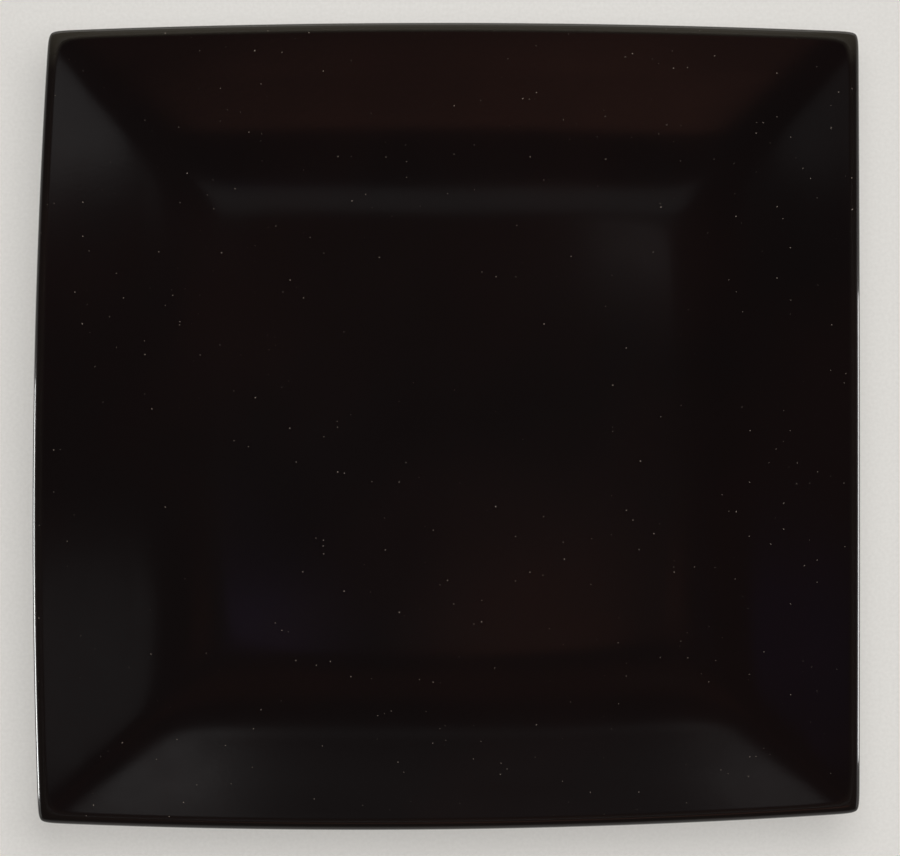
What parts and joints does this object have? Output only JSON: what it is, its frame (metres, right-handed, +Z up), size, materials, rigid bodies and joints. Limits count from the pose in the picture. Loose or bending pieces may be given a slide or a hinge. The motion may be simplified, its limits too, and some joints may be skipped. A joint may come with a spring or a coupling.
{
  "type": "square dinner plate",
  "caption": "Square stoneware dinner plate with softly bowed sides, a sloping rim creased on the diagonals, a coved well and a bare foot ring, under a satin black glaze.",
  "frame": {"origin": "on the table, under the middle of the plate's outline", "axes": "+Z up out of the well, -Y towards the diner (the bottom of the picture), +X to the diner's right"},
  "size_m": [0.2671, 0.267, 0.0266],
  "materials": {
    "stoneware": "fired stoneware, bare and slightly gritty",
    "black_glaze": "satin black glaze, faintly warm, with sparse pale specks"
  },
  "bodies": {
    "root": {"clay_body": "stoneware", "outer_glaze": "black_glaze", "base_glaze": "black_glaze"}
  },
  "joints": []
}
